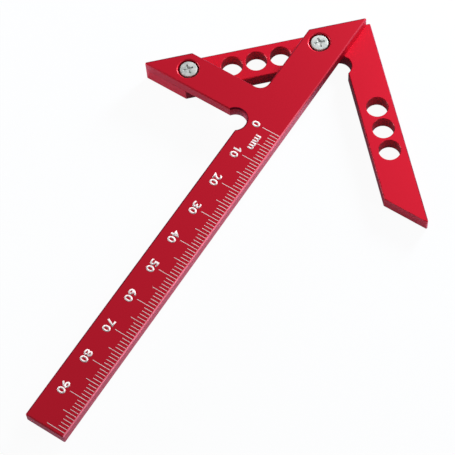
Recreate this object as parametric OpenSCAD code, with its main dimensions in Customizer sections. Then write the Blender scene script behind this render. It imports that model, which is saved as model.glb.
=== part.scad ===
// Centre finder: a ruler plate with a 45 degree head, screwed onto a right-angled vee frame.
// Millimetres, Z up. The frame's underside is at Z = 0 and the ruler points along X.
// Outlines are drawn with the vee's apex at the origin, then moved so that the origin is
// under the middle of the object.

/* [Vee frame] */
// Length of the head along the ruler, from the apex to the cut ends of the arms
head_l = 45.4; // [40:0.1:60]
// Width of each arm
arm_w = 9.7; // [8:0.1:11]
// Thickness of the frame
frame_t = 4.1; // [2.5:0.1:8]

/* [Arm holes] */
// Diameter of the holes through the arms
hole_d = 6; // [3:0.1:7]
// Wall left between neighbouring holes
hole_web = 0.9; // [0.5:0.1:2]
// Number of holes in each arm
hole_count = 3; // [1:1:4]
// Distance of the line of holes from the arm's centre line, towards the outer edge
hole_out = 0.2; // [0:0.05:0.4]
// Distance of the row's middle from halfway between the screws, towards the apex
hole_back = 0.5; // [0:0.1:1]

/* [Ruler plate] */
// Thickness of the plate
plate_t = 3.4; // [2.6:0.1:6]
// Width of the ruler
ruler_w = 11.8; // [9:0.1:16]
// Length of the scale, which starts at the head's base
scale_l = 100; // [50:10:300]
// Length of ruler past the end of the scale
end_margin = 1.3; // [1:0.1:5]
// Distance of the measuring edge from the vee's centre line, about half a pencil lead
line_offset = 0.55; // [0:0.05:1]
// Width of the heel, the leg along the head's base
heel_w = 9.75; // [7.5:0.05:12]
// Radius of the inner corner of the notch between the heel and the ruler
notch_r = 2.8; // [0.5:0.1:5]

/* [Corners] */
// Radius of the round reliefs in the two square inner corners
relief_r = 3.3; // [2:0.1:4]
// Depth to which a relief cuts past its corner
relief_cut = 0.7; // [0.3:0.1:1.5]
// Radius that blunts the outer corners
tip_r = 0.35; // [0.1:0.05:0.6]

/* [Screws] */
// Thread diameter
screw_d = 3; // [2:0.1:3.6]
// Diameter of the pan head
pan_d = 5.3; // [4.5:0.1:6.3]
// Height of the head at its crown
pan_h = 2.1; // [1.8:0.1:2.4]
// Rise of the domed crown above the head's side
crown_rise = 0.65; // [0.3:0.05:0.9]
// Depth of the crown below the plate's top face
crown_sink = 0.1; // [0:0.05:0.15]
// Depth of the cross recess below the crown
recess_depth = 1.3; // [0.8:0.1:1.5]
// Width across the wings of the cross recess at the crown
recess_d = 3.1; // [2.6:0.1:3.6]
// Width of each wing of the cross recess
recess_w = 0.75; // [0.4:0.05:1]
// Slope of the ends of the wings, in degrees from upright
recess_slope = 26.5; // [15:0.5:30]
// Height of the cone at the end of the shank
shank_cone = 0.5; // [0.2:0.1:0.8]
// Plate left between the apex screw's counterbore and the notch
apex_wall = 1.6; // [0.8:0.1:2.5]
// Angle of the apex screw's cross recess
apex_turn = 48; // [0:1:90]
// Angle of the heel screw's cross recess
heel_turn = 53; // [0:1:90]

/* [Clearances] */
// Radial gap between a screw head and its counterbore
pan_gap = 0.5; // [0.2:0.05:0.8]
// Radial gap between a shank and the plate
shank_gap = 0.2; // [0.1:0.05:0.4]
// Radial gap between a shank and its tapped hole
thread_gap = 0.05; // [0.02:0.01:0.1]
// Distance from the end of a shank to the frame's underside
tail_gap = 0.3; // [0:0.1:1]

/* [Hidden] */
$fn = 96;
// Overshoot of a cut past the face that it goes through
over = 1;
// Steps along an eased corner
arc_steps = 8;

// Arms: their inner edges meet on the centre line at inner_x
inner_x = arm_w * sqrt(2);
inner_y = head_l - inner_x;

// Plate: levels of the ruler's lower edge, the notch's side and the ruler's end
low_y = -line_offset - ruler_w;
notch_x = head_l - heel_w;
end_x = head_l + scale_l + end_margin;
top_z = frame_t + plate_t;

// Reliefs: distance from a corner out to its relief's centre
relief_off = relief_r - relief_cut;

// Screws: they stand on the covered arm's centre line, the first above the notch and the
// second in the middle of the heel
bore_r = pan_d / 2 + pan_gap;
seat_z = top_z - pan_h - crown_sink;
shank_r = screw_d / 2;
shank_l = seat_z - tail_gap;
crown_r = (pow(pan_d / 2, 2) + pow(crown_rise, 2)) / (2 * crown_rise);
apex_y = low_y + apex_wall + bore_r;
apex_screw_xy = [inner_x / 2 - apex_y, apex_y];
heel_x = head_l - heel_w / 2;
heel_screw_xy = [heel_x, inner_x / 2 - heel_x];

// Holes: the row is set along the arm between the two screws
hole_pitch = hole_d + hole_web;
hole_mid = (along(apex_screw_xy) + along(heel_screw_xy)) / 2 - hole_back;
hole_in = arm_w / 2 - hole_out;

// Middle of the object along the ruler, allowing for the blunted apex
middle_x = (end_x + tip_r * (sqrt(2) - 1)) / 2;

// Distance of a point along the covered arm from the apex
function along(p) = (p.x - p.y) / sqrt(2);

// Point on an arm: distance along it, distance in from its outer edge, and side (1 or -1)
function on_arm(far, deep, side) = [(far + deep) / sqrt(2), side * (far - deep) / sqrt(2)];

function unit(v) = v / norm(v);
function plan(p) = [p.x, p.y];
function bearing(v) = atan2(v.y, v.x);
function short_turn(a) = a > 180 ? a - 360 : a < -180 ? a + 360 : a;

// Arc that eases corner b, given as [x, y, radius], between its neighbours a and c
function corner_arc(a, b, c) =
    let (
        u = unit(plan(a) - plan(b)),
        v = unit(plan(c) - plan(b)),
        half = acos(u * v) / 2,
        centre = plan(b) + unit(u + v) * b[2] / sin(half),
        reach = b[2] / tan(half),
        start = bearing(plan(b) + u * reach - centre),
        turn = short_turn(bearing(plan(b) + v * reach - centre) - start)
    )
    b[2] == 0
        ? [plan(b)]
        : [for (k = [0:arc_steps])
            let (angle = start + turn * k / arc_steps)
            centre + b[2] * [cos(angle), sin(angle)]];

// Outline through a list of corners, each eased by its own radius
function eased(corners) =
    let (n = len(corners))
    [for (i = [0:n - 1]) each corner_arc(corners[(i + n - 1) % n], corners[i], corners[(i + 1) % n])];

// The vee, from the apex along the covered arm and back along the free arm
vee_outline = eased([
    [0, 0, tip_r],
    [head_l, -head_l, tip_r],
    [head_l, -inner_y, tip_r],
    [inner_x, 0, 0],
    [head_l, inner_y, tip_r],
    [head_l, head_l, tip_r]
]);

// The plate, from the apex along the sloping edge, into the notch, round the heel and back
// along the ruler
plate_outline = eased([
    [line_offset, -line_offset, tip_r],
    [-low_y, low_y, tip_r],
    [notch_x, low_y, notch_r],
    [notch_x, -notch_x, tip_r],
    [head_l, -head_l, tip_r],
    [head_l, low_y, 0],
    [end_x, low_y, tip_r],
    [end_x, -line_offset, tip_r]
]);

// Moves a piece drawn from the apex so that the origin lies under the object's middle
module centred() {
    translate([-middle_x, 0, 0])
        children();
}

// Upright hole or pin of radius r from height z0 to height z1, at a point in plan
module upright(p, r, z0, z1) {
    translate([p.x, p.y, z0])
        cylinder(r = r, h = z1 - z0);
}

// Frame: two arms with a relief in the inner corner, rows of holes and two tapped holes
module vee_frame() {
    color("crimson")
    centred()
    difference() {
        linear_extrude(frame_t)
            polygon(vee_outline);
        upright([inner_x + relief_off, 0], relief_r, -over, frame_t + over);
        for (side = [-1, 1], i = [0:hole_count - 1]) {
            far = hole_mid + (i - (hole_count - 1) / 2) * hole_pitch;
            upright(on_arm(far, hole_in, side), hole_d / 2, -over, frame_t + over);
        }
        for (p = [apex_screw_xy, heel_screw_xy])
            upright(p, shank_r + thread_gap, -over, frame_t + over);
    }
}

// Plate: ruler and head in one, with a relief in the square corner and two counterbores
module ruler_plate() {
    color("firebrick")
    centred()
    difference() {
        translate([0, 0, frame_t])
            linear_extrude(plate_t)
            polygon(plate_outline);
        upright([head_l, low_y] + relief_off * [1, -1] / sqrt(2), relief_r, frame_t - over, top_z + over);
        for (p = [apex_screw_xy, heel_screw_xy]) {
            upright(p, bore_r, seat_z, top_z + over);
            upright(p, shank_r + shank_gap, frame_t - over, top_z);
        }
    }
}

// One wing pair of a cross recess, upright in the XZ plane with its mouth at Z = 0
module recess_wing() {
    mouth = recess_d / 2;
    bottom = mouth - recess_depth * tan(recess_slope);
    rotate([90, 0, 0])
        linear_extrude(recess_w, center = true)
        polygon([[-mouth, over], [-mouth, 0], [-bottom, -recess_depth],
                 [bottom, -recess_depth], [mouth, 0], [mouth, over]]);
}

// Pan-head screw standing on its seat at Z = 0, with its shank below
module screw(turn) {
    difference() {
        intersection() {
            cylinder(d = pan_d, h = pan_h);
            translate([0, 0, pan_h - crown_r])
                sphere(r = crown_r);
        }
        for (a = [0, 90])
            translate([0, 0, pan_h])
                rotate([0, 0, turn + a])
                recess_wing();
    }
    translate([0, 0, shank_cone - shank_l])
        cylinder(r = shank_r, h = shank_l - shank_cone);
    translate([0, 0, -shank_l])
        cylinder(r1 = shank_r - shank_cone, r2 = shank_r, h = shank_cone);
}

module apex_screw() {
    color("silver")
    centred()
    translate([apex_screw_xy.x, apex_screw_xy.y, seat_z])
        screw(apex_turn);
}

module heel_screw() {
    color("silver")
    centred()
    translate([heel_screw_xy.x, heel_screw_xy.y, seat_z])
        screw(heel_turn);
}

vee_frame();
ruler_plate();
apex_screw();
heel_screw();
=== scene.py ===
# %% [markdown]
# A red centre finder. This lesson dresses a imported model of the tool: a ruler plate with a triangular
# head, screwed onto a right-angled vee frame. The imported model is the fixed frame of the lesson. Its
# plain pieces could be given a material as they are, but a maker would still see what they lack. So each
# piece is modelled once more with broken edges, threads and a printed scale, and replaces the plain one.

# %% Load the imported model
import math

import bmesh
import bpy
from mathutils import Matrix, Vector


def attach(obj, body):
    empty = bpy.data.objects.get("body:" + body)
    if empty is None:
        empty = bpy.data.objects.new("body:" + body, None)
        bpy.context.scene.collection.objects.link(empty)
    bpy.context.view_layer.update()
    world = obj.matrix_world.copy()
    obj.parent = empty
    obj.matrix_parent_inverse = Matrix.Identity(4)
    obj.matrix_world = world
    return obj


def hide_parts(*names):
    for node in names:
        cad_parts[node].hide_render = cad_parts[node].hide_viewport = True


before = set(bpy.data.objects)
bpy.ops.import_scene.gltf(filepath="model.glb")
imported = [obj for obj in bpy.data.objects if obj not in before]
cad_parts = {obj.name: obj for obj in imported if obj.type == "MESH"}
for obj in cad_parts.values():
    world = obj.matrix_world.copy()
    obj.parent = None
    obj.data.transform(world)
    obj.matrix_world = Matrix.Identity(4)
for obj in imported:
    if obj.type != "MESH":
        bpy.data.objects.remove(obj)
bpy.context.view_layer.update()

# %% [markdown]
# Sizes are in millimetres, as a maker reads them from a drawing, and are measured from the apex of the
# vee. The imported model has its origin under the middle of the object. Points could be typed in metres
# from there, but then no number would match the drawing, so one helper turns a point of the drawing into
# a point of the scene.

# %% Sizes of the drawing
MM = 0.001
HEAD_L = 45.4  # along the ruler, from the apex to the cut ends of the arms
ARM_W = 9.7
FRAME_T = 4.1
PLATE_T = 3.4
RULER_W = 11.8
SCALE_L = 100
END_MARGIN = 1.3  # ruler past the end of the scale
LINE_OFFSET = 0.55  # from the vee's centre line to the measuring edge
HEEL_W = 9.75  # leg of the plate along the head's base
TIP_R = 0.35  # radius that blunts the outer corners
INK = 0.02  # thickness of the print on the plate

ROOT2 = math.sqrt(2)
INNER_X = ARM_W * ROOT2
INNER_Y = HEAD_L - INNER_X
LOW_Y = -LINE_OFFSET - RULER_W
NOTCH_X = HEAD_L - HEEL_W
END_X = HEAD_L + SCALE_L + END_MARGIN
TOP_Z = FRAME_T + PLATE_T
FACE_Z = TOP_Z - INK
MIDDLE_X = (END_X + TIP_R * (ROOT2 - 1)) / 2


def spot(x, y, z=0.0):
    """A point of the drawing, in metres in the scene."""
    return Vector(((x - MIDDLE_X) * MM, y * MM, z * MM))


# %% [markdown]
# The camera stands where the photograph was taken: above the free arm's side of the ruler, looking
# steeply down along it with a long lens. It could be set by eye, but the scale is a ready-made measure.
# Its place and turn come from fitting a pinhole camera to the marks and to the corners of both plates.

# %% Camera
CAMERA_PLACE = (0.18181, 0.14076, 0.44800)
CAMERA_TURN = (0.473576, 0.041631, 2.147773)
CAMERA_LENS = 149.668
CAMERA_SENSOR = 36
NEAREST, FARTHEST = 0.01, 20

bpy.ops.object.select_all(action="DESELECT")
bpy.ops.object.camera_add(location=CAMERA_PLACE, rotation=CAMERA_TURN)
camera = bpy.context.object
camera.name = "camera"
camera.data.sensor_width = CAMERA_SENSOR
camera.data.lens = CAMERA_LENS
camera.data.clip_start = NEAREST
camera.data.clip_end = FARTHEST
camera.data.dof.use_dof = False
bpy.context.scene.camera = camera
print("camera at", [round(v, 3) for v in camera.location], "lens", round(camera.data.lens, 1))

# %% [markdown]
# An operator acts on all that is selected, as it does under the mouse. So the first helpers only select:
# one object, its whole mesh, or the points, edges or faces that pass a test. A test by place or normal is
# used instead of an index, because indices change with every cut.

# %% Helpers for selecting


def only(obj):
    """Selects one object, so that an operator acts on nothing else."""
    bpy.ops.object.select_all(action="DESELECT")
    obj.select_set(True)
    bpy.context.view_layer.objects.active = obj


def open_whole(obj):
    """Opens an object in edit mode with its whole mesh selected."""
    only(obj)
    bpy.ops.object.mode_set(mode="EDIT")
    bpy.ops.mesh.select_all(action="SELECT")


def open_where(obj, kind, wanted):
    """Opens an object in edit mode with the points, edges or faces selected that pass a test."""
    only(obj)
    bpy.ops.object.mode_set(mode="EDIT")
    bpy.ops.mesh.select_mode(type=kind)
    bpy.ops.mesh.select_all(action="DESELECT")
    mesh = bmesh.from_edit_mesh(obj.data)
    items = {"VERT": mesh.verts, "EDGE": mesh.edges, "FACE": mesh.faces}[kind]
    for item in items:
        item.select_set(wanted(item))
    bmesh.update_edit_mesh(obj.data)
    return sum(item.select for item in items)


def close_mesh():
    bpy.ops.object.mode_set(mode="OBJECT")


# %% [markdown]
# Most pieces of this tool are milled from flat plate, so a few helpers do the work of a small milling
# shop: a block of stock, a cut, a saw. The outlines could also be drawn point by point and extruded. A
# boolean modifier is used for each cut, because a mill also removes exactly what its cutter sweeps, and
# the steps then read like a work plan. A boolean can list its points and faces in another order each time
# the script runs, and later steps depend on that order, so each one ends with a sort.

# %% Helpers for stock and cuts
FLAT_SEAM = math.radians(0.3)  # faces that turn by less than this are one
SORT_FROM = (0.3137, 0.1713, 0.2391)  # in metres, off the tool's lines, so that distances from it differ


def apply_place(obj):
    only(obj)
    bpy.ops.object.transform_apply(location=True, rotation=True, scale=True)


def block(name, low, high):
    """A block of stock between two points of the drawing."""
    bpy.ops.object.select_all(action="DESELECT")
    bpy.ops.mesh.primitive_cube_add(size=1)
    obj = bpy.context.object
    obj.name = name
    low, high = spot(*low), spot(*high)
    obj.scale = high - low
    obj.location = (low + high) / 2
    apply_place(obj)
    return obj


def sort_mesh(obj):
    """Lists a mesh's points, edges and faces by their distance from one point, set with the 3D cursor."""
    cursor = bpy.context.scene.cursor
    cursor.location = SORT_FROM
    open_whole(obj)
    bpy.ops.mesh.sort_elements(type="CURSOR_DISTANCE", elements={"VERT", "EDGE", "FACE"})
    close_mesh()
    cursor.location = (0, 0, 0)  # where new primitives start


def combine(obj, tool, operation):
    """Cuts a tool out of an object, adds it or keeps what both share, and removes the tool."""
    only(obj)
    step = obj.modifiers.new(operation.lower(), "BOOLEAN")
    step.operation = operation
    step.solver = "EXACT"
    step.object = tool
    bpy.ops.object.modifier_apply(modifier=step.name)
    bpy.data.objects.remove(tool, do_unlink=True)
    sort_mesh(obj)


def clean(obj, near=0.01):
    """Merges points that are closer than that and dissolves the flat seams that a cut leaves."""
    open_whole(obj)
    bpy.ops.mesh.remove_doubles(threshold=near * MM)
    bpy.ops.mesh.dissolve_limited(angle_limit=FLAT_SEAM)
    bpy.ops.mesh.normals_make_consistent(inside=False)
    close_mesh()


def saw(obj, x, normal):
    """Cuts off what lies past an upright plane through a point of the vee's centre line."""
    open_whole(obj)
    bpy.ops.mesh.bisect(plane_co=spot(x, 0), plane_no=normal, use_fill=True, clear_outer=True)
    close_mesh()
    clean(obj)


def spans(obj):
    return [round(v / MM, 2) for v in obj.dimensions]


print("a seam under", round(math.degrees(FLAT_SEAM), 1), "degrees counts as flat")

# %% [markdown]
# The vee frame is cut from one square of plate. It could be two bars that meet at a mitre, but the real
# one is a single piece without a seam. The square has a smaller square milled out of its corner, which
# leaves two arms of equal width. It is then turned by 45 degrees, and both arms are sawn off square to
# the ruler.

# %% Vee frame: stock, turn and saw
SQUARE = 70  # side of the stock
OVER = 1  # how far a cutter stands over a face
SPARE = 5  # how far a cutter reaches past the stock's sides

frame_piece = block("vee_frame_dressed", (0, 0, 0), (SQUARE, SQUARE, FRAME_T))
past_square = SQUARE + SPARE
pocket = block("inner_square", (ARM_W, ARM_W, -OVER), (past_square, past_square, FRAME_T + OVER))
combine(frame_piece, pocket, "DIFFERENCE")
open_whole(frame_piece)
bpy.ops.transform.rotate(value=math.radians(45), orient_axis="Z", center_override=spot(0, 0))
close_mesh()
saw(frame_piece, HEAD_L, (1, 0, 0))
print("vee frame spans", spans(frame_piece))

# %% [markdown]
# Real plates have no knife edges. An upright corner is rounded by the radius on the drawing, with a bevel
# of its upright edge. A Bevel modifier would round every corner alike, and a sharp tip would fold up
# under it, so each corner is picked by its place. A tip is cut flat first, and its two new corners are
# rounded.

# %% Vee frame: corners
SAME = 1e-7  # points closer than this, in metres, lie in one place
TIP_CUT = 1.04  # a little more is cut off a tip than its radius asks for
TIP_ARC = 0.87  # and the arcs are kept a little shorter, so that they don't meet
TIP_NEAR = 1.1  # reach for the corners of a cut tip, as a share of the cut
CORNER_NEAR = 0.02  # an edge this close to a corner of the drawing belongs to it
CORNER_STEPS, TIP_STEPS = 8, 4


def round_corner(obj, x, y, offset, steps=CORNER_STEPS, near=CORNER_NEAR):
    """Bevels the upright edges at a point of the drawing. The offset is along the sides."""
    place = spot(x, y).xy

    def at_corner(edge):
        a, b = (v.co.xy for v in edge.verts)
        return (a - b).length < SAME and (a - place).length < near * MM

    picked = open_where(obj, "EDGE", at_corner)
    bpy.ops.mesh.bevel(offset=offset * MM, offset_type="OFFSET", segments=steps, affect="EDGES")
    close_mesh()
    return picked


def blunt(obj, x, y, inner_angle):
    """Rounds an upright corner of that angle by the tip radius."""
    half = math.radians(inner_angle) / 2
    if inner_angle >= 90:
        return round_corner(obj, x, y, TIP_R / math.tan(half))
    flat = TIP_CUT * TIP_R * (1 / math.sin(half) - 1) / math.cos(half)
    round_corner(obj, x, y, flat, steps=1)
    arc = TIP_ARC * TIP_R * math.tan(math.radians(45) - half / 2)
    return round_corner(obj, x, y, arc, steps=TIP_STEPS, near=TIP_NEAR * flat)


frame_corners = (
    (0, 0, 90), (HEAD_L, HEAD_L, 45), (HEAD_L, -HEAD_L, 45),
    (HEAD_L, INNER_Y, 135), (HEAD_L, -INNER_Y, 135),
)
picked = [blunt(frame_piece, *corner) for corner in frame_corners]
print("edges at each corner:", picked)

# %% [markdown]
# Round cutters, drills and screw heads are turned parts. A cylinder would do for the simplest of them,
# but drills have shoulders and screw heads have crowns. So all are made as on a lathe: a profile is drawn
# with extrude, point by point, and then spun round the Z axis.

# %% Helpers for turned shapes
LATHE_STEPS = 96
SEAM = 1e-6  # merge distance for the seam and the poles of a turned shape


def profile_line(name, points):
    """Draws a line through (radius, height) points, in millimetres, upright in the XZ plane."""
    bpy.ops.object.select_all(action="DESELECT")
    bpy.ops.mesh.primitive_plane_add(size=MM)
    obj = bpy.context.object
    obj.name = name
    bpy.ops.object.mode_set(mode="EDIT")
    bpy.ops.mesh.select_mode(type="VERT")
    bpy.ops.mesh.select_all(action="SELECT")
    bpy.ops.mesh.merge(type="CENTER")
    at = Vector((0, 0))
    for point in points:
        step = (Vector(point) - at) * MM
        move = {"value": (step.x, 0, step.y)}
        if point == points[0]:
            bpy.ops.transform.translate(**move)
        else:
            bpy.ops.mesh.extrude_region_move(TRANSFORM_OT_translate=move)
        at = Vector(point)
    close_mesh()
    return obj


def lathe(name, profile, steps=LATHE_STEPS):
    """Spins a profile round the Z axis."""
    obj = profile_line(name, profile)
    open_whole(obj)
    bpy.ops.mesh.spin(steps=steps, angle=2 * math.pi, center=(0, 0, 0), axis=(0, 0, 1))
    bpy.ops.mesh.select_all(action="SELECT")
    bpy.ops.mesh.remove_doubles(threshold=SEAM)
    bpy.ops.mesh.normals_make_consistent(inside=False)
    close_mesh()
    return obj


print("a turned shape has", LATHE_STEPS, "steps in a turn")

# %% [markdown]
# The vee's inner corner has a round relief, so that what is pushed into the vee seats on the arms and not
# in the corner. A bevel there would fill the corner instead. So a turned cutter stands a little past the
# corner, and a boolean takes it out.

# %% Vee frame: relief
RELIEF_R = 3.3
RELIEF_CUT = 0.7  # how far a relief reaches past its corner
RELIEF_OFF = RELIEF_R - RELIEF_CUT


def cut_relief(obj, x, y):
    """Cuts a relief round a point of the drawing, through all heights."""
    low, high = -OVER, TOP_Z + OVER
    cutter = lathe("relief_cutter", [(0, low), (RELIEF_R, low), (RELIEF_R, high), (0, high)])
    cutter.location = spot(x, y)
    apply_place(cutter)
    combine(obj, cutter, "DIFFERENCE")
    clean(obj)


cut_relief(frame_piece, INNER_X + RELIEF_OFF, 0)
print("vee frame faces with the relief:", len(frame_piece.data.polygons))

# %% [markdown]
# The rims of the top and bottom are broken with a narrow bevel, which gives each edge its line of light
# or shade. A Bevel modifier could find the sharp edges by itself, but the sawn ends are crisper than the
# other edges, so the edges are picked by their height and by the faces beside them. This is done before
# the holes are drilled, because a face without holes bevels cleanly.

# %% Vee frame: edges
FRAME_BREAK = 0.28
END_BREAK = 0.08
UNDER_BREAK = 0.05
FRAME_STEPS, END_STEPS, UNDER_STEPS = 3, 2, 2
STEEP = math.radians(35)  # edges that turn by more than this are sharp
SQUARE_ON = 0.999  # share of a normal along an axis, from which a face looks squarely along it


def break_edges(obj, level, width, steps, skip_ends=False):
    """Bevels the sharp edges at that height, on request without those of faces towards the ruler's end."""

    def wanted(edge):
        at_level = all(abs(v.co.z - level * MM) < SAME for v in edge.verts)
        at_end = skip_ends and any(face.normal.x > SQUARE_ON for face in edge.link_faces)
        return at_level and not at_end and edge.calc_face_angle(0) > STEEP

    picked = open_where(obj, "EDGE", wanted)
    bpy.ops.mesh.bevel(
        offset=width * MM, segments=steps, affect="EDGES", clamp_overlap=False, loop_slide=False
    )
    close_mesh()
    return picked


on_top = break_edges(frame_piece, FRAME_T, FRAME_BREAK, FRAME_STEPS, skip_ends=True)
at_ends = break_edges(frame_piece, FRAME_T, END_BREAK, END_STEPS)
below = break_edges(frame_piece, 0, UNDER_BREAK, UNDER_STEPS)
print("broken edges:", on_top, "on top,", at_ends, "at the ends,", below, "below")

# %% [markdown]
# Light and shade fall differently on a flat face, on a broken edge and inside a hole, and here that shade
# is painted into the colour. The material could look for edges with a Bevel or Pointiness node, but these
# work in one render engine only. So every face gets a number here that says which painted shade or
# highlight it gets. It is an attribute of the mesh, which later cuts carry over and any material can read.

# %% Vee frame: painted shade of each face
# Kinds of face: plain, or painted shade in bores, on rims, on inner sides and on the plate's side in the
# vee, or a painted highlight on the measuring edge.
PLAIN, BORE_SHADE, RIM_SHADE, INNER_SHADE, HIGHLIT_EDGE, SHADED_SIDE = 0.0, 0.25, 0.5, 0.75, 1.0, 1.25
LEVEL = 0.99  # a normal's height, from which a face is level
LEAST_TILT = 0.08  # and from which it is no longer upright
INSIDE_VEE = 1  # a face this far past the arms' outer edges, along the ruler, is inside


def drawn(face):
    """Where a face's middle lies on the drawing."""
    return face.center.x / MM + MIDDLE_X, face.center.y / MM


def is_broken(face):
    """Whether a face belongs to a broken edge, because it is neither level nor upright."""
    return LEAST_TILT < abs(face.normal.z) < LEVEL


def mark_faces(obj, kind):
    """Notes on each face, as an attribute, which painted shade or highlight it gets. The kind is a
    function of the face.
    """
    values = [kind(face) for face in obj.data.polygons]
    obj.data.attributes.new("finish", "FLOAT", "FACE").data.foreach_set("value", values)
    return sum(value > 0 for value in values)


def frame_finish(face):
    """Level faces and the sawn ends stay plain, the outer rims and the sides inside the vee get painted
    shade.
    """
    x, y = drawn(face)
    if abs(face.normal.z) > LEVEL or x > HEAD_L - 2 * TIP_R:
        return PLAIN
    inside = x - abs(y) > INSIDE_VEE
    if is_broken(face):
        return BORE_SHADE if inside else RIM_SHADE
    return INNER_SHADE if inside else PLAIN


painted_faces = mark_faces(frame_piece, frame_finish)
print("vee frame faces with a finish of their own:", painted_faces)

# %% [markdown]
# Both screws stand on the covered arm's centre line, one above the notch and one in the middle of the
# heel. Each arm has a row of three holes between them. Each place could be measured by itself, but the
# same rule for both arms keeps the rows alike, also where the plate hides them.

# %% Vee frame: places of the holes
HOLE_D = 6.0
HOLE_WEB = 0.9  # wall between neighbouring holes
HOLE_OUT = 0.2  # from the arm's centre line, towards its outer edge
HOLE_BACK = 0.5  # from halfway between the screws, towards the apex
HOLE_PITCH = HOLE_D + HOLE_WEB
HOLE_IN = ARM_W / 2 - HOLE_OUT
PAN_R = 2.65
PAN_GAP = 0.5
APEX_WALL = 1.6  # from the gap round the apex screw's head to the notch

apex_screw_y = LOW_Y + APEX_WALL + PAN_R + PAN_GAP
heel_screw_x = HEAD_L - HEEL_W / 2
SCREWS = ((INNER_X / 2 - apex_screw_y, apex_screw_y), (heel_screw_x, INNER_X / 2 - heel_screw_x))
HOLE_MID = sum((x - y) / ROOT2 for x, y in SCREWS) / 2 - HOLE_BACK
arm_holes = []
for side in (-1, 1):
    for i in (-1, 0, 1):
        far = HOLE_MID + i * HOLE_PITCH
        arm_holes.append(((far + HOLE_IN) / ROOT2, side * (far - HOLE_IN) / ROOT2))
print("screws at", [(round(x, 2), round(y, 2)) for x, y in SCREWS], "holes in the arms:", len(arm_holes))

# %% [markdown]
# The covered arm also has a tapped hole under each screw. A cylinder as cutter would leave sharp rims, so
# each drill is turned with a 45 degree shoulder, which breaks the rim as it goes through a face. One
# drill is made for each size, and copies of it stand at the holes. The walls that a drill leaves take its
# mark for painted shade in a bore.

# %% Vee frame: drilling
SCREW_R = 1.5
TAP_GAP = 0.05
HOLE_BREAK = 0.15
PAST = 0.2  # how far a drill's shoulder runs past a face


def through_drill(name, radius, z0, z1, rim):
    """A drill for a hole from face z0 up to face z1, with a shoulder for each rim."""
    wide = radius + rim + PAST
    profile = [
        (0, z0 - PAST), (wide, z0 - PAST), (radius, z0 + rim),
        (radius, z1 - rim), (wide, z1 + PAST), (0, z1 + PAST),
    ]
    return lathe(name, profile)


def twin_of(obj):
    """A copy of an object, with its own mesh."""
    twin = obj.copy()
    twin.data = obj.data.copy()
    bpy.context.collection.objects.link(twin)
    return twin


def join(objects, name):
    only(objects[0])
    for obj in objects:
        obj.select_set(True)
    bpy.ops.object.join()
    objects[0].name = name
    return objects[0]


def drill(obj, tool, places):
    """Drills holes at points of the drawing with copies of one tool."""
    tools = []
    for x, y in places:
        twin = twin_of(tool)
        twin.location = spot(x, y)
        apply_place(twin)
        tools.append(twin)
    bpy.data.objects.remove(tool, do_unlink=True)
    combine(obj, join(tools, "drills"), "DIFFERENCE")


for radius, places in ((HOLE_D / 2, arm_holes), (SCREW_R + TAP_GAP, SCREWS)):
    tool = through_drill("frame_drill", radius, 0, FRAME_T, HOLE_BREAK)
    # The drilled walls and their chamfers get painted bore shade.
    mark_faces(tool, lambda face: BORE_SHADE)
    drill(frame_piece, tool, places)
clean(frame_piece)
print("holes in the vee frame:", len(arm_holes) + len(SCREWS))

# %% [markdown]
# Last, round faces are shaded smooth and flat ones are not. Smoothing by angle alone lets the shading of
# a narrow bevel bleed over the large faces beside it, as a false streak of light. A Weighted Normal
# modifier would lessen that, but not remove it. So the flat faces get their own normals back, and the
# curves stay.

# %% Vee frame: shading
UPRIGHT = 0.01  # a normal's height, up to which a face is upright
IN_LINE = 0.001  # how far an upright face may turn from along, across or 45 degrees


def is_flat(face):
    """Whether a face is level, or upright and along, across or at 45 degrees to the ruler."""
    x, y, z = (abs(v) for v in face.normal)
    return z > LEVEL or z < UPRIGHT and min(x, y, abs(x - y)) < IN_LINE


def finish_faces(obj):
    """Splits the large faces and smooths what is round, while the flat faces keep an even shading."""
    only(obj)
    step = obj.modifiers.new("triangles", "TRIANGULATE")
    step.min_vertices = 5
    bpy.ops.object.modifier_apply(modifier=step.name)
    bpy.ops.object.shade_smooth_by_angle(angle=STEEP)
    open_where(obj, "FACE", is_flat)
    bpy.ops.mesh.set_normals_from_faces(keep_sharp=True)
    close_mesh()
    return len(obj.data.polygons)


frame_faces = finish_faces(frame_piece)
print("vee frame faces:", frame_faces)

# %% [markdown]
# The ruler plate is one piece: a ruler bar and a head. Drawing its outline would need every corner's
# place. Here a bar and a square are added together, the square is sawn along its diagonal, and a notch
# with a round inner corner is milled from the diagonal side, which leaves the heel as a leg along the
# base.

# %% Ruler plate: stock, diagonal and notch
NOTCH_R = 2.8
NOTCH_STEPS = 16

plate_piece = block("ruler_plate_dressed", (0, LOW_Y, FRAME_T), (END_X, -LINE_OFFSET, FACE_Z))
head = block("head_square", (-SPARE, -HEAD_L - SPARE, FRAME_T), (HEAD_L, -LINE_OFFSET, FACE_Z))
combine(plate_piece, head, "UNION")
clean(plate_piece)
saw(plate_piece, 0, (-1, -1, 0))
notch = block("notch_cutter", (-SPARE, -HEAD_L - SPARE, FRAME_T - OVER), (NOTCH_X, LOW_Y, TOP_Z + OVER))
round_corner(notch, NOTCH_X, LOW_Y, NOTCH_R, steps=NOTCH_STEPS)
combine(plate_piece, notch, "DIFFERENCE")
clean(plate_piece)
print("ruler plate spans", spans(plate_piece))

# %% [markdown]
# The plate's corners, its relief and its edges follow the frame's steps, with a wider round on the top
# edge. That round is wider than the blunted tips, so the bevel crowds several points together above each
# corner. A smaller bevel would avoid that but look too sharp, so those points are drawn together into one
# instead.

# %% Ruler plate: corners, relief and edges
PLATE_BREAK = 0.42
PLATE_STEPS = 4
GATHER_REACH = 1.4  # round a corner, within which points are drawn together
corner_out = RELIEF_OFF / ROOT2
RELIEF_AT = (HEAD_L + corner_out, LOW_Y - corner_out)


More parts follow.
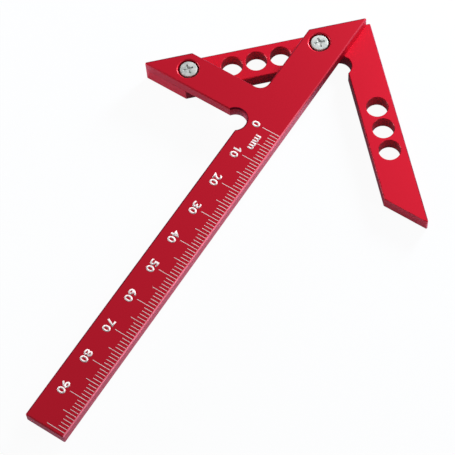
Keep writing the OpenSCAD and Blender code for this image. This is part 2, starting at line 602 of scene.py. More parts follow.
def gather(obj, x, y, level):
    """Draws the points near a corner, at that height, together into one."""
    place = spot(x, y, level)

    def wanted(vertex):
        return abs(vertex.co.z - place.z) < SAME and (vertex.co - place).length < GATHER_REACH * MM

    open_where(obj, "VERT", wanted)
    bpy.ops.mesh.merge(type="CENTER")
    close_mesh()


plate_corners = (
    (LINE_OFFSET, -LINE_OFFSET, 45), (-LOW_Y, LOW_Y, 135), (NOTCH_X, -NOTCH_X, 135),
    (HEAD_L, -HEAD_L, 45), (END_X, LOW_Y, 90), (END_X, -LINE_OFFSET, 90),
)
picked = [blunt(plate_piece, *corner) for corner in plate_corners]
print("edges at each corner:", picked)
cut_relief(plate_piece, *RELIEF_AT)
on_top = break_edges(plate_piece, FACE_Z, PLATE_BREAK, PLATE_STEPS)
for x, y, _ in plate_corners:
    gather(plate_piece, x, y, FACE_Z)
below = break_edges(plate_piece, FRAME_T, UNDER_BREAK, UNDER_STEPS)
print("broken edges:", on_top, "on top,", below, "below")

# %% [markdown]
# The plate's edges differ more than the frame's. The measuring edge gets a painted pale highlight that
# turns to painted shade towards the apex, the edges towards the ruler's end look like the top, and the
# other rims, the relief and the side inside the vee get painted shade. One function sorts the faces by
# place and normal, which is quicker than painting them and survives a new size.

# %% Ruler plate: painted shade and highlight of each face
FACING = 0.1  # share of a normal along an axis, from which an edge faces that way
OFF_SLOPE = 1  # distance from the sloping edge, from which a face lies inside the notch


def plate_finish(face):
    """Which painted shade or highlight a face of the plate gets, if any."""
    x, y = drawn(face)
    off_relief = math.dist((x, y), RELIEF_AT)
    if is_broken(face):
        # Rims inside the notch get painted shade.
        if x < NOTCH_X + PLATE_BREAK and y < LOW_Y + PLATE_BREAK and x + y > OFF_SLOPE:
            return INNER_SHADE
        # The measuring edge's rounding gets a painted highlight.
        if face.normal.y > FACING and y > -LINE_OFFSET - PLATE_BREAK:
            return HIGHLIT_EDGE
        # Rims facing away get painted shade, those towards the ruler's end stay plain.
        at_end = face.normal.x > FACING and off_relief > RELIEF_R + PLATE_BREAK
        return PLAIN if at_end else RIM_SHADE
    # The relief's walls get painted bore shade.
    if abs(face.normal.z) < UPRIGHT and off_relief < RELIEF_R:
        return BORE_SHADE
    # The side towards the free arm gets painted shade inside the vee.
    return SHADED_SIDE if face.normal.y > SQUARE_ON else PLAIN


painted_faces = mark_faces(plate_piece, plate_finish)
print("ruler plate faces with a finish of their own:", painted_faces)

# %% [markdown]
# Each screw hole in the plate is a counterbore, which sinks the pan head level with the top, and a
# clearance hole for the shank. Its rim is rounded and catches a crescent of light. A bevel after the cut
# would have to find that rim again, so the drill itself carries the round, as an arc in the profile that
# is turned.

# %% Ruler plate: screw holes
PAN_H = 2.1
CROWN_SINK = 0.1
SEAT_Z = TOP_Z - PAN_H - CROWN_SINK
SHANK_GAP = 0.2
BORE_R = 2.92
BORE_RIM = 0.38
RIM_STEPS = 4

shank_hole = SCREW_R + SHANK_GAP
profile = [
    (0, FRAME_T - PAST), (shank_hole + PAST + UNDER_BREAK, FRAME_T - PAST),
    (shank_hole, FRAME_T + UNDER_BREAK), (shank_hole, SEAT_Z), (BORE_R, SEAT_Z),
]
for k in range(RIM_STEPS):
    turn = math.radians(90 * k / RIM_STEPS)
    profile.append((BORE_R + BORE_RIM * (1 - math.cos(turn)), FACE_Z - BORE_RIM * (1 - math.sin(turn))))
last_r, last_z = profile[-1]
slope = (BORE_R + BORE_RIM - last_r) / (FACE_Z - last_z)
profile.append((last_r + (FACE_Z + PAST - last_z) * slope, FACE_Z + PAST))
profile.append((0, FACE_Z + PAST))
drill(plate_piece, lathe("screw_drill", profile), SCREWS)
clean(plate_piece)
plate_faces = finish_faces(plate_piece)
print("counterbore from", round(SEAT_Z, 2), "mm up; ruler plate faces:", plate_faces)

# %% [markdown]
# The screws are pan-head machine screws. A head is a turned part, so it comes from the lathe as well: a
# neck that the thread joins, a flat seat, a straight side, a rounded shoulder and a crown that is nearly
# flat. A squashed sphere would be quicker, but its shoulder would be too soft to catch the rim of light.

# %% Screw: head
HEAD_R = PAN_R - 0.24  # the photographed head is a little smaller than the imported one
CROWN_RISE = 0.1
CROWN_R = (HEAD_R**2 + CROWN_RISE**2) / (2 * CROWN_RISE)
CROWN_STEPS = 8
SHOULDER_R = 0.22
SHOULDER_STEPS = 6
SEAT_BREAK = 0.2
NECK_R, NECK_L = 1.35, 0.6
HEAD_STEPS = 64


def dome(radius):
    """Height of the crown's sphere at a distance from the axis."""
    return PAN_H - CROWN_R + math.sqrt(CROWN_R**2 - radius**2)


crown_edge = HEAD_R - SHOULDER_R
shoulder_z = dome(crown_edge) - SHOULDER_R
profile = [(0, -NECK_L), (NECK_R, -NECK_L), (NECK_R, 0), (HEAD_R - SEAT_BREAK, 0), (HEAD_R, SEAT_BREAK)]
for k in range(SHOULDER_STEPS):
    turn = math.radians(90 * k / SHOULDER_STEPS)
    profile.append((crown_edge + SHOULDER_R * math.cos(turn), shoulder_z + SHOULDER_R * math.sin(turn)))
for k in range(CROWN_STEPS + 1):
    radius = crown_edge * (1 - k / CROWN_STEPS)
    profile.append((radius, dome(radius)))
screw = lathe("screw", profile, steps=HEAD_STEPS)
print("screw head faces:", len(screw.data.polygons))

# %% [markdown]
# The thread is one tooth, swept along a helix by a Screw modifier. Stacked rings would look alike, but
# they don't climb. The ends of the sweep are ragged, so they are cut square with bisect. The tail is then
# shaped by keeping only what lies within a turned form with a cone, so that the screw finds its hole.

# %% Screw: thread and tail
PITCH = 0.5
CORE_R = 1.2
ROOT_L = 0.11  # length of the flat at the thread's root
CREST = (0.27, 0.33)  # where the thread's crest starts and ends
TURNS_SWEPT = 12
TURN_STEPS = 32
TAIL_GAP = 0.3  # from the frame's underside
TAIL_Z = TAIL_GAP - SEAT_Z
TAIL_CONE = 0.5
TAIL_CUT, HEAD_CUT = TAIL_Z - 0.1, -0.3  # where the sweep is cut square
FORM_SPARE, FORM_TOP = 0.05, 0.1  # how far the form stands outside the thread and above the seat

tooth = [(CORE_R, 0), (CORE_R, ROOT_L), (SCREW_R, CREST[0]), (SCREW_R, CREST[1]), (CORE_R, PITCH)]
thread = profile_line("thread", tooth)
only(thread)
step = thread.modifiers.new("helix", "SCREW")
step.screw_offset = PITCH * MM
step.iterations = TURNS_SWEPT
step.steps = step.render_steps = TURN_STEPS
bpy.ops.object.modifier_apply(modifier=step.name)
thread.location.z = (TAIL_Z - 2 * PITCH) * MM  # two turns below the tail
apply_place(thread)
open_whole(thread)
bpy.ops.mesh.remove_doubles(threshold=SEAM)
for level, low_side in ((TAIL_CUT, True), (HEAD_CUT, False)):
    bpy.ops.mesh.select_all(action="SELECT")
    bpy.ops.mesh.bisect(
        plane_co=(0, 0, level * MM), plane_no=(0, 0, 1), use_fill=True, threshold=SAME,
        clear_inner=low_side, clear_outer=not low_side,
    )
bpy.ops.mesh.select_all(action="SELECT")
bpy.ops.mesh.normals_make_consistent(inside=False)
close_mesh()

form_r = SCREW_R + FORM_SPARE
tail_form = lathe("tail_form", [
    (0, TAIL_Z), (SCREW_R - TAIL_CONE, TAIL_Z), (form_r, TAIL_Z + TAIL_CONE + FORM_SPARE),
    (form_r, FORM_TOP), (0, FORM_TOP),
])
combine(thread, tail_form, "INTERSECT")
print("thread faces:", len(thread.data.polygons))
combine(screw, thread, "UNION")

# %% [markdown]
# The cross recess is two crossed wings that narrow downwards, with a shallow dish in the middle, where
# the driver's tip sits. It could be cut with one extruded cross, but then its walls would stand upright
# and the floor would stay black. A wing starts as a cube, and its lower face is scaled in edit mode.

# %% Screw: cross recess
RECESS_D = 3.1
RECESS_W = 0.65
RECESS_DEPTH = 0.28
RECESS_SLOPE = math.tan(math.radians(40))
RECESS_TAPER = 0.8  # width of a wing's floor, as a share of its mouth
LIP = 0.4  # how far the cutter stands over the crown
DISH = [(0, -0.28), (0.5, -0.21), (1.15, 0.25), (0, 0.25)]  # radius and height from the crown
DISH_STEPS = 32

mouth = RECESS_D + 2 * LIP * RECESS_SLOPE
floor_share = 1 - 2 * (RECESS_DEPTH + LIP) * RECESS_SLOPE / mouth
bpy.ops.object.select_all(action="DESELECT")
bpy.ops.mesh.primitive_cube_add(size=1)
recess = bpy.context.object
recess.scale = Vector((mouth, RECESS_W, RECESS_DEPTH + LIP)) * MM
recess.location.z = (PAN_H - (RECESS_DEPTH - LIP) / 2) * MM
apply_place(recess)
open_where(recess, "FACE", lambda face: face.normal.z < -LEVEL)
bpy.ops.transform.resize(value=(floor_share, RECESS_TAPER, 1))
close_mesh()
other_wing = twin_of(recess)
other_wing.rotation_euler.z = math.radians(90)
apply_place(other_wing)
combine(recess, other_wing, "UNION")
dish = lathe("driver_dish", [(radius, PAN_H + height) for radius, height in DISH], steps=DISH_STEPS)
combine(recess, dish, "UNION")
combine(screw, recess, "DIFFERENCE")
clean(screw, near=0.0005)
screw_faces = finish_faces(screw)
print("screw faces:", screw_faces)

# %% [markdown]
# Both screws are the same part, so one is modelled and copied. A linked copy would share its mesh, but
# the place of a finished piece belongs in its mesh, and each copy needs its own for that. The recesses
# stand at the angles at which the screws happened to be tight.

# %% Screw: both places
SCREW_TURNS = {"apex_screw_dressed": 48, "heel_screw_dressed": 53}

screw_pieces = []
for (name, turn), place in zip(SCREW_TURNS.items(), SCREWS):
    piece = twin_of(screw)
    piece.name = name
    piece.rotation_euler.z = math.radians(turn)
    piece.location = spot(*place, SEAT_Z)
    apply_place(piece)
    screw_pieces.append(piece)
    print(name, "from", round(min(v.co.z for v in piece.data.vertices) / MM, 2), "mm up")
bpy.data.objects.remove(screw, do_unlink=True)

# %% [markdown]
# The scale is printed in white: a short mark for each millimetre, a longer one for every five and the
# longest for every ten. It could be painted by a material, but a print has a little thickness and keeps a
# crisp edge as a mesh. One mark is a thin strip that starts where the rounded edge begins. Its far
# corners are rounded a little, and array modifiers repeat it along the ruler.

# %% Scale marks
TICK_W = 0.13
TICK_ROUND, TICK_STEPS = TICK_W / 3, 2
ZERO_X = HEAD_L + 0.15  # the scale starts a hair past the head's base
PRINT_Z = FACE_Z - INK / 2  # a print reaches a little into the face
ONE_L, FIVE_L, TEN_L = 2.9, 4.35, 5.8
TENS = SCALE_L // 10


def mark(name, at, length):
    """A printed mark at a distance along the scale, as long as given from the measuring edge."""
    near, far = -LINE_OFFSET - PLATE_BREAK, -LINE_OFFSET - length
    left, right = ZERO_X + at - TICK_W / 2, ZERO_X + at + TICK_W / 2
    obj = block(name, (left, far, PRINT_Z), (right, near, TOP_Z))
    for x in (left, right):
        round_corner(obj, x, far, TICK_ROUND, steps=TICK_STEPS)
    return obj


def repeat(obj, count, pitch):
    only(obj)
    step = obj.modifiers.new("repeat", "ARRAY")
    step.use_relative_offset = False
    step.use_constant_offset = True
    step.constant_offset_displace = (pitch * MM, 0, 0)
    step.count = count
    bpy.ops.object.modifier_apply(modifier=step.name)


ones = mark("ones", 1, ONE_L)
for count, pitch in ((4, 1), (2, 5), (TENS, 10)):
    repeat(ones, count, pitch)
fives = mark("fives", 5, FIVE_L)
repeat(fives, TENS, 10)
tens = mark("tens", 0, TEN_L)
repeat(tens, TENS + 1, 10)
marks_piece = join([ones, fives, tens], "scale_marks")
print("scale marks:", len(marks_piece.data.polygons), "faces")

# %% [markdown]
# The figures stand under the marks for ten, twenty and so on, and the unit stands beside the zero. They
# are text in the built-in font, which saves drawing them, made bold with an offset. Text is made a flat
# mesh first. Its crowded points are merged, so that no corner folds over, and then it is extruded and set
# into a box of its own, because the figures on the object are a little wider than the font's.

# %% Figures: text as print
FIGURE_W, FIGURE_H = 1.75, 2.3
BOLD = 0.026
FONT_STEPS = 5
FONT_MERGE = 0.004
FONT_DEPTH = 0.1
PRINT_T = 1.4 * INK  # text ends a hair below the top of the marks
PRINT_MID = TOP_Z - 0.75 * INK


def printed(body, centre, width=FIGURE_W, height=FIGURE_H):
    """Text as a thin printed mesh, set into a box of that size around a point of the drawing."""
    bpy.ops.object.select_all(action="DESELECT")
    bpy.ops.object.text_add()
    text = bpy.context.object.data
    text.body = body
    text.align_x, text.align_y = "CENTER", "CENTER"
    text.offset = BOLD
    text.resolution_u = FONT_STEPS
    bpy.ops.object.convert(target="MESH")
    obj = bpy.context.object
    open_whole(obj)
    bpy.ops.mesh.remove_doubles(threshold=FONT_MERGE)
    bpy.ops.mesh.delete_loose()
    bpy.ops.mesh.select_all(action="SELECT")
    bpy.ops.mesh.extrude_region_move(TRANSFORM_OT_translate={"value": (0, 0, FONT_DEPTH)})
    close_mesh()
    low = Vector([min(v.co[i] for v in obj.data.vertices) for i in range(3)])
    high = Vector([max(v.co[i] for v in obj.data.vertices) for i in range(3)])
    size = Vector((width, height, PRINT_T)) * MM
    obj.scale = [size[i] / (high[i] - low[i]) for i in range(3)]
    middle = Vector([(low[i] + high[i]) / 2 * obj.scale[i] for i in range(3)])
    obj.location = spot(*centre, PRINT_MID) - middle
    apply_place(obj)
    return obj


print("a figure is", FIGURE_W, "by", FIGURE_H, "mm")

# %% [markdown]
# The font's 1 is a bare bar, which the box of a figure would also stretch, while the one on the object is
# slim and has a flag at its head. So that figure is two strips of print instead: an upright stem, and a
# flag whose inner end is lifted in edit mode.

# %% Figures: the figure one and the whole row
STEM_W = 0.5
FLAG_REACH, FLAG_ROOT = 0.55, 0.1  # from the stem's left side
FLAG_LOW, FLAG_HIGH = 1.0, 0.5  # below the figure's top
FLAG_RISE = 0.45
FIGURE_Y = -8.4
FIGURE_STEP = 1.92
UNIT_AT = (HEAD_L + 5.15, -5.8)
UNIT_W, UNIT_H = 4.7, 1.6


def figure_one(x, y):
    """The figure 1, with a flag at its head, from two strips of print."""
    low, high = y - FIGURE_H / 2, y + FIGURE_H / 2
    stem = block("one", (x, low, PRINT_Z), (x + STEM_W, high, TOP_Z))
    left, right = x - FLAG_REACH, x + FLAG_ROOT
    flag = block("flag", (left, high - FLAG_LOW, PRINT_Z), (right, high - FLAG_HIGH, TOP_Z))
    open_where(flag, "VERT", lambda vertex: vertex.co.x > spot(x, 0).x)
    bpy.ops.transform.translate(value=(0, FLAG_RISE * MM, 0))
    close_mesh()
    combine(stem, flag, "UNION")
    return stem


figures = [printed("0", (ZERO_X, FIGURE_Y))]
for ten in range(1, TENS):
    x = ZERO_X + 10 * ten
    left, right = x - FIGURE_STEP / 2, x + FIGURE_STEP / 2
    figures.append(figure_one(left, FIGURE_Y) if ten == 1 else printed(str(ten), (left, FIGURE_Y)))
    figures.append(printed("0", (right, FIGURE_Y)))
figures.append(printed("mm", UNIT_AT, UNIT_W, UNIT_H))
figures_piece = join(figures, "scale_figures")
open_whole(figures_piece)
bpy.ops.mesh.remove_doubles(threshold=SAME)
bpy.ops.mesh.normals_make_consistent(inside=False)
close_mesh()
sort_mesh(figures_piece)  # the order of extruded faces can differ between runs too
print("figures:", len(figures), "faces:", len(figures_piece.data.polygons))

# %% [markdown]
# Finishes are trees of nodes. They could be wired one by one in the editor. Here a few helpers add a
# node, link what goes into it and give back its output, so that a tree reads like a formula. Another
# helper starts a node group, which is a tree that several materials can use, with its named inputs and
# outputs.

# %% Helpers for node trees
CLOUD_DETAIL, SPECK_DETAIL = 2.0, 3.0


def group(name, inputs, outputs):
    """A new shader group with its sockets, and its input and output nodes."""
    tree = bpy.data.node_groups.new(name, "ShaderNodeTree")
    for label, value in inputs.items():
        socket = tree.interface.new_socket(label, in_out="INPUT", socket_type="NodeSocketFloat")
        socket.default_value = value
    for label in outputs:
        tree.interface.new_socket(label, in_out="OUTPUT", socket_type="NodeSocketFloat")
    return tree, tree.nodes.new("NodeGroupInput"), tree.nodes.new("NodeGroupOutput")


def maths(tree, operation, *values):
    """A Math node, whose inputs are numbers or sockets, and its output."""
    item = tree.nodes.new("ShaderNodeMath")
    item.operation = operation
    for socket, value in zip(item.inputs, values):
        if isinstance(value, (int, float)):
            socket.default_value = value
        else:
            tree.links.new(value, socket)
    return item.outputs[0]


def noise(tree, scale, detail=CLOUD_DETAIL):
    """Noise on Object coordinates. The scale is a socket, in waves for each metre."""
    place = tree.nodes.new("ShaderNodeTexCoord")
    item = tree.nodes.new("ShaderNodeTexNoise")
    item.inputs["Detail"].default_value = detail
    tree.links.new(place.outputs["Object"], item.inputs["Vector"])
    tree.links.new(scale, item.inputs["Scale"])
    return item.outputs["Fac"]


def ramp(tree, value, start, end, low=0.0, high=1.0):
    """Maps a socket's value from start to end onto low to high, and holds it there beyond."""
    item = tree.nodes.new("ShaderNodeMapRange")
    for label, number in (("From Min", start), ("From Max", end), ("To Min", low), ("To Max", high)):
        item.inputs[label].default_value = number
    tree.links.new(value, item.inputs["Value"])
    return item.outputs["Result"]


print("node groups before the first:", len(bpy.data.node_groups))

# %% [markdown]
# Anodised metal is never one flat colour. The metal is blasted first, so it has a fine grain, and the dye
# takes a little unevenly. Plating and print show such a grain too, so it is a node group, built once:
# fine specks and soft clouds of noise, in shares that each material sets. Copies of the nodes would drift
# apart.

# %% Node group for the grain
grain, given, result = group(
    "fine_grain", {"Grain Scale": 4000, "Cloud Scale": 60, "Cloud Share": 0.5}, ("Tone", "Height")
)
speck = noise(grain, given.outputs["Grain Scale"], detail=SPECK_DETAIL)
cloud = noise(grain, given.outputs["Cloud Scale"])
speck_share = maths(grain, "SUBTRACT", 1, given.outputs["Cloud Share"])
clouds = maths(grain, "MULTIPLY", cloud, given.outputs["Cloud Share"])
specks = maths(grain, "MULTIPLY", speck, speck_share)
grain.links.new(maths(grain, "ADD", clouds, specks), result.inputs["Tone"])
grain.links.new(speck, result.inputs["Height"])
print("grain group nodes:", len(grain.nodes))

# %% [markdown]
# A second group turns the numbers on the faces into three masks: painted shade in bores, on inner sides
# and on the plate's side in the vee, painted shade on the rims, and a painted highlight on the measuring
# edge. The rim shade and the highlight are broken up by noise. The highlight fades out towards the apex,
# where painted shade takes over, and the painted shade on the plate's side is deepest in the vee.

# %% Node group for painted shade and highlights
KIND_REACH = 0.1  # a number this close to that of a finish stands for it
# Where the painted highlight on the measuring edge fades out, and how strong each painted shade is:
HIGHLIGHT_FROM, HIGHLIGHT_TO = -0.045, -0.025  # along the ruler, in metres in the scene
HIGHLIGHT_LEAST = 0.1
VEE_IN, VEE_OUT = (11, 13.5), (34, 27.3)  # along the plate's side, where the painted shade fades in and out
PATCH_LEAST, PATCH_GAIN = 0.5, 0.8
BORE_SHADE_SHARE = 0.5
VEE_SHADE_SHARE = 1.3
EDGE_SHADE_SHARE = 0.3

edges, given, result = group("painted_light_masks", {"Patch Scale": 900}, ("Deep Shade", "Rim Shade", "Highlight"))
marked = edges.nodes.new("ShaderNodeAttribute")
marked.attribute_name = "finish"
# Masks for each kind: rim is the painted rim shade, side is the plate's side that gets painted shade in
# the vee.
bore_shade, inner_shade, rim, highlit_edge, side = [
    maths(edges, "COMPARE", marked.outputs["Fac"], kind, KIND_REACH)
    for kind in (BORE_SHADE, INNER_SHADE, RIM_SHADE, HIGHLIT_EDGE, SHADED_SIDE)
]
place = edges.nodes.new("ShaderNodeTexCoord")
axes = edges.nodes.new("ShaderNodeSeparateXYZ")
edges.links.new(place.outputs["Object"], axes.inputs[0])
highlight_fade = ramp(edges, axes.outputs["X"], HIGHLIGHT_FROM, HIGHLIGHT_TO, low=HIGHLIGHT_LEAST)
fade_in, fade_out = [
    ramp(edges, axes.outputs["X"], spot(start, 0).x, spot(end, 0).x) for start, end in (VEE_IN, VEE_OUT)
]
patchy = maths(edges, "MULTIPLY_ADD", noise(edges, given.outputs["Patch Scale"]), PATCH_GAIN, PATCH_LEAST)

# Painted shade on the plate's side inside the vee, added to that of bores and inner sides.
vee_shade = maths(edges, "MULTIPLY", side, maths(edges, "MINIMUM", fade_in, fade_out))
deep_shade = maths(edges, "MULTIPLY_ADD", vee_shade, VEE_SHADE_SHARE, inner_shade)
deep_shade = maths(edges, "MULTIPLY_ADD", bore_shade, BORE_SHADE_SHARE, deep_shade)
# Painted highlight on the measuring edge, and painted shade where it fades towards the apex.
edge_in_shade = maths(edges, "MULTIPLY", highlit_edge, maths(edges, "SUBTRACT", 1, highlight_fade))
shade_on_rims = maths(edges, "MULTIPLY_ADD", edge_in_shade, EDGE_SHADE_SHARE, rim)
highlight = maths(edges, "MULTIPLY", highlit_edge, highlight_fade)
edges.links.new(deep_shade, result.inputs["Deep Shade"])
edges.links.new(maths(edges, "MULTIPLY", shade_on_rims, patchy), result.inputs["Rim Shade"])
edges.links.new(maths(edges, "MULTIPLY", highlight, patchy), result.inputs["Highlight"])
print("groups:", [tree.name for tree in bpy.data.node_groups])

# %% [markdown]
# All finishes are built from a Principled shader and the two groups, so a few helpers come first. What is
# the same all over a surface is set on the shader's own socket, and only what changes over the surface is
# linked to it, because an export keeps the first kind and bakes the second.

# %% Helpers for materials
NOISE_REACH = (0.3, 0.7)  # most of a noise lies between these


def material(name):
    """A new material, its tree and its Principled shader."""
    made = bpy.data.materials.new(name)
    made.use_nodes = True
    return made, made.node_tree, made.node_tree.nodes["Principled BSDF"]


def set_sockets(item, values):
    for label, value in values.items():
        item.inputs[label].default_value = value


def place_group(tree, source, values):
    item = tree.nodes.new("ShaderNodeGroup")
    item.node_tree = source
    set_sockets(item, values)
    return item


def mix(tree, share, first, second):
    """Mixes two colours, each a value or a socket. Inputs 6 and 7 and output 2 are the node's colours."""
    item = tree.nodes.new("ShaderNodeMix")
    item.data_type = "RGBA"
    tree.links.new(share, item.inputs["Factor"])
    for socket, value in zip(item.inputs[6:8], (first, second)):
        if isinstance(value, tuple):
            socket.default_value = value
        else:
            tree.links.new(value, socket)
    return item.outputs[2]


def grained(tree, skin, values, colours, roughness):
    """Places the grain, sets the roughness by its tone, and gives its node and its colour."""
    item = place_group(tree, grain, values)
    tone = item.outputs["Tone"]
    tree.links.new(ramp(tree, tone, *NOISE_REACH, *roughness), skin.inputs["Roughness"])
    return item, mix(tree, ramp(tree, tone, *NOISE_REACH), *colours)


def bump(tree, skin, height, strength, depth):
    item = tree.nodes.new("ShaderNodeBump")
    set_sockets(item, {"Strength": strength, "Distance": depth * MM})
    tree.links.new(height, item.inputs["Height"])
    tree.links.new(item.outputs["Normal"], skin.inputs["Normal"])


def dress(made, *pieces):
    for piece in pieces:
        piece.data.materials.clear()
        piece.data.materials.append(made)


print("materials before the first finish:", len(bpy.data.materials))

# %% [markdown]
# The red is dyed anodising on aluminium: coloured metal under a clear, hard layer. Plain red paint
# would look too even, and plain red metal too dark. A Principled shader with some metal and a soft coat
# gives both: the red comes from the metal, and at a low angle the coat shows the pale surround, which
# turns upright faces pink. Rims, bores, inner sides and the plate's side in the vee get painted shade: a
# darker red and less coat. The measuring edge gets a painted pale highlight. The frame's red is set a
# little lighter.

# %% Red anodising
RED = (0.60, 0.0022, 0.021, 1)
RED_CLOUD = (0.54, 0.0018, 0.017, 1)
# Colours of the painted rim shade, of the painted shade in bores, inner sides and the vee, and of the
# painted highlight on the measuring edge.
RED_RIM_SHADE = (0.09, 0.001, 0.009, 1)
RED_SHADE = (0.32, 0.0014, 0.012, 1)
RED_HIGHLIGHT = (0.92, 0.19, 0.28, 1)
RED_GRAIN = {"Grain Scale": 5000, "Cloud Scale": 70, "Cloud Share": 0.6}
RED_ROUGHNESS = (0.5, 0.42)
RED_SKIN = {
    "Metallic": 0.4, "Specular IOR Level": 0.1, "Specular Tint": (1.0, 0.5, 1.0, 1),
    "Coat Roughness": 0.32, "Coat IOR": 1.4,
}
COAT, COAT_RIM_SHADE_LOSS, COAT_SHADE_LOSS = 0.7, 0.7, 0.4
GRAIN_DEPTH = 0.01
RED_BUMP = 0.05
RED_PATCHES = {"Patch Scale": 700}
PLATE_SHADE, FRAME_SHADE = 1.0, 1.17


def anodised(name, piece, shade):
    """The red anodising on a piece. The shade makes its dye lighter or darker."""
    made, tree, skin = material(name)
    set_sockets(skin, RED_SKIN)
    # rim is the colour of the painted rim shade, in this piece's red.
    cloud, plain, rim = [tuple(shade * v for v in dye[:3]) + (1,) for dye in (RED_CLOUD, RED, RED_RIM_SHADE)]
    dye, colour = grained(tree, skin, RED_GRAIN, (cloud, plain), RED_ROUGHNESS)
    bump(tree, skin, dye.outputs["Height"], RED_BUMP, GRAIN_DEPTH)
    faces = place_group(tree, edges, RED_PATCHES)
    # Painted shade and the painted highlight are mixed into the base colour.
    for mask, tint in (("Deep Shade", RED_SHADE), ("Rim Shade", rim), ("Highlight", RED_HIGHLIGHT)):
        colour = mix(tree, faces.outputs[mask], colour, tint)
    tree.links.new(colour, skin.inputs["Base Color"])
    # Less coat where shade is painted, so that those faces lose their sheen.
    coat = maths(tree, "MULTIPLY_ADD", faces.outputs["Rim Shade"], -COAT_RIM_SHADE_LOSS, COAT)
    coat = maths(tree, "MULTIPLY_ADD", faces.outputs["Deep Shade"], -COAT_SHADE_LOSS, coat)
    tree.links.new(coat, skin.inputs["Coat Weight"])
    dress(made, piece)
    return len(tree.nodes)


plate_nodes = anodised("red_anodising", plate_piece, PLATE_SHADE)
frame_nodes = anodised("red_anodising_frame", frame_piece, FRAME_SHADE)
print("nodes in the plate's red:", plate_nodes, "and in the frame's:", frame_nodes)

# %% [markdown]
# The screws are bright zinc-plated steel. A mirror-like metal would show hard reflections, which these
# heads don't have, so this one is rough, with patches of a duller, slightly green grey. The scale is a
# matt white print, thin enough for the red and the grain below to tint it in places.

# %% Bright steel and white print
STEEL = (0.66, 0.67, 0.66, 1)
STEEL_DULL = (0.36, 0.41, 0.40, 1)
STEEL_GRAIN = {"Grain Scale": 6000, "Cloud Scale": 900, "Cloud Share": 0.75}
STEEL_METAL = 0.8
STEEL_ROUGHNESS = (0.8, 0.66)
STEEL_BUMP = 0.1
WHITE = (0.92, 0.88, 0.88, 1)
WHITE_THIN = (0.85, 0.72, 0.74, 1)
WHITE_GRAIN = {"Grain Scale": 5000, "Cloud Scale": 300, "Cloud Share": 0.4}
WHITE_ROUGHNESS = (0.7, 0.55)

steel, tree, skin = material("bright_steel")
set_sockets(skin, {"Metallic": STEEL_METAL})
plating, colour = grained(tree, skin, STEEL_GRAIN, (STEEL_DULL, STEEL), STEEL_ROUGHNESS)
bump(tree, skin, plating.outputs["Height"], STEEL_BUMP, GRAIN_DEPTH)
tree.links.new(colour, skin.inputs["Base Color"])
dress(steel, *screw_pieces)

white, tree, skin = material("white_print")
_, colour = grained(tree, skin, WHITE_GRAIN, (WHITE_THIN, WHITE), WHITE_ROUGHNESS)
tree.links.new(colour, skin.inputs["Base Color"])
dress(white, marks_piece, figures_piece)
print("materials:", [made.name for made in bpy.data.materials if made.users])

# %% [markdown]
# The tool lies on a white floor. A floor bright enough to look white would also throw its light on the
# tool. So a Light Path node shows the camera a plain white, with a small share of a matt paper that keeps
# the soft shadow. Reflections see less of that white, and what the floor throws on the tool is only the
# cool paper's.

# %% Floor
FLOOR_SIZE = 6
FLOOR_GAP = 0.02  # below the frame, so that no two faces share a place
PAPER_SKIN = {"Base Color": (0.70, 0.82, 0.97, 1), "Roughness": 0.9, "Specular IOR Level": 0.0}
PURE_WHITE = (1, 1, 1, 1)
FLOOR_SEEN, FLOOR_MIRRORED = 0.95, 0.11


def ray_level(tree, seen, mirrored):
    """One value for rays from the camera, straight or through glass, and another for reflections."""
    path = tree.nodes.new("ShaderNodeLightPath")
    direct = maths(tree, "MAXIMUM", path.outputs["Is Camera Ray"], path.outputs["Is Transmission Ray"])
    direct = maths(tree, "MULTIPLY", direct, seen)
    return maths(tree, "MAXIMUM", direct, maths(tree, "MULTIPLY", path.outputs["Is Glossy Ray"], mirrored))


bpy.ops.object.select_all(action="DESELECT")
bpy.ops.mesh.primitive_plane_add(size=FLOOR_SIZE, location=(0, 0, -FLOOR_GAP * MM))
floor = bpy.context.object
floor.name = "floor"

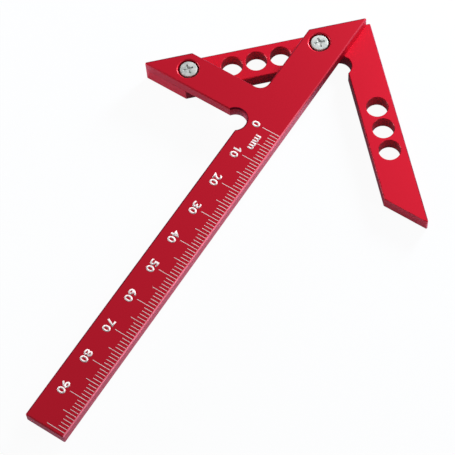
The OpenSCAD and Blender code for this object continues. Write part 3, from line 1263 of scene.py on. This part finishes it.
paper, tree, skin = material("white_paper")
set_sockets(skin, PAPER_SKIN)
glow = tree.nodes.new("ShaderNodeEmission")
set_sockets(glow, {"Color": PURE_WHITE})
blend = tree.nodes.new("ShaderNodeMixShader")
tree.links.new(ray_level(tree, FLOOR_SEEN, FLOOR_MIRRORED), blend.inputs[0])
tree.links.new(skin.outputs[0], blend.inputs[1])
tree.links.new(glow.outputs[0], blend.inputs[2])
tree.links.new(blend.outputs[0], tree.nodes["Material Output"].inputs["Surface"])
dress(paper, floor)
print("floor nodes:", len(tree.nodes))

# %% [markdown]
# The surround is an even pale light, weak on the tool, stronger where the coat mirrors it, and white to
# the camera. One lamp overhead would flatten the tool. The main soft lamp stands low beyond the apex
# instead, so the light falls off gently along the ruler. Two weak ones open the shadows on the free arm's
# side and on the heel's side.

# %% Light
SURROUND = 0.13
SHEEN = 0.31
LAMP_AIM = Vector((-0.03, 0, 0))
LAMPS = {
    "key_softbox": {"place": (-0.40, 0.045, 0.15), "size": 0.13, "energy": 2.95},
    "side_softbox": {"place": (-0.08, 0.40, 0.25), "size": 0.1, "energy": 0.55},
    "fill_softbox": {"place": (0.08, -0.25, 0.05), "size": 0.1, "energy": 0.5},
}

world = bpy.data.worlds.new("studio")
bpy.context.scene.world = world
world.use_nodes = True
tree = world.node_tree
background = tree.nodes["Background"]
set_sockets(background, {"Color": PURE_WHITE})
level = maths(tree, "MAXIMUM", ray_level(tree, 1, SHEEN), SURROUND)
tree.links.new(level, background.inputs["Strength"])

for name, setting in LAMPS.items():
    bpy.ops.object.select_all(action="DESELECT")
    bpy.ops.object.light_add(type="AREA", location=setting["place"])
    lamp = bpy.context.object
    lamp.name = name
    lamp.data.shape = "DISK"
    lamp.data.size = setting["size"]
    lamp.data.energy = setting["energy"]
    lamp.rotation_euler = (LAMP_AIM - lamp.location).to_track_quat("-Z", "Y").to_euler()
    print(name, round((LAMP_AIM - lamp.location).length, 2), "m from the head")
bpy.context.scene.view_settings.view_transform = "Standard"

# %% [markdown]
# Each dressed piece now replaces its plain one, and all ride on the one body, because the tool has no
# joints. The print replaces nothing: it only rides along.

# %% Replace the plain pieces
for piece, node, slot in (
    (frame_piece, "vee_frame", "red_anodised"), (plate_piece, "ruler_plate", "red_anodised"),
    (screw_pieces[0], "apex_screw", "screw_steel"), (screw_pieces[1], "heel_screw", "screw_steel"),
):
    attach(piece, "root")
    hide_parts(node)
for piece in (marks_piece, figures_piece):
    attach(piece, "root")
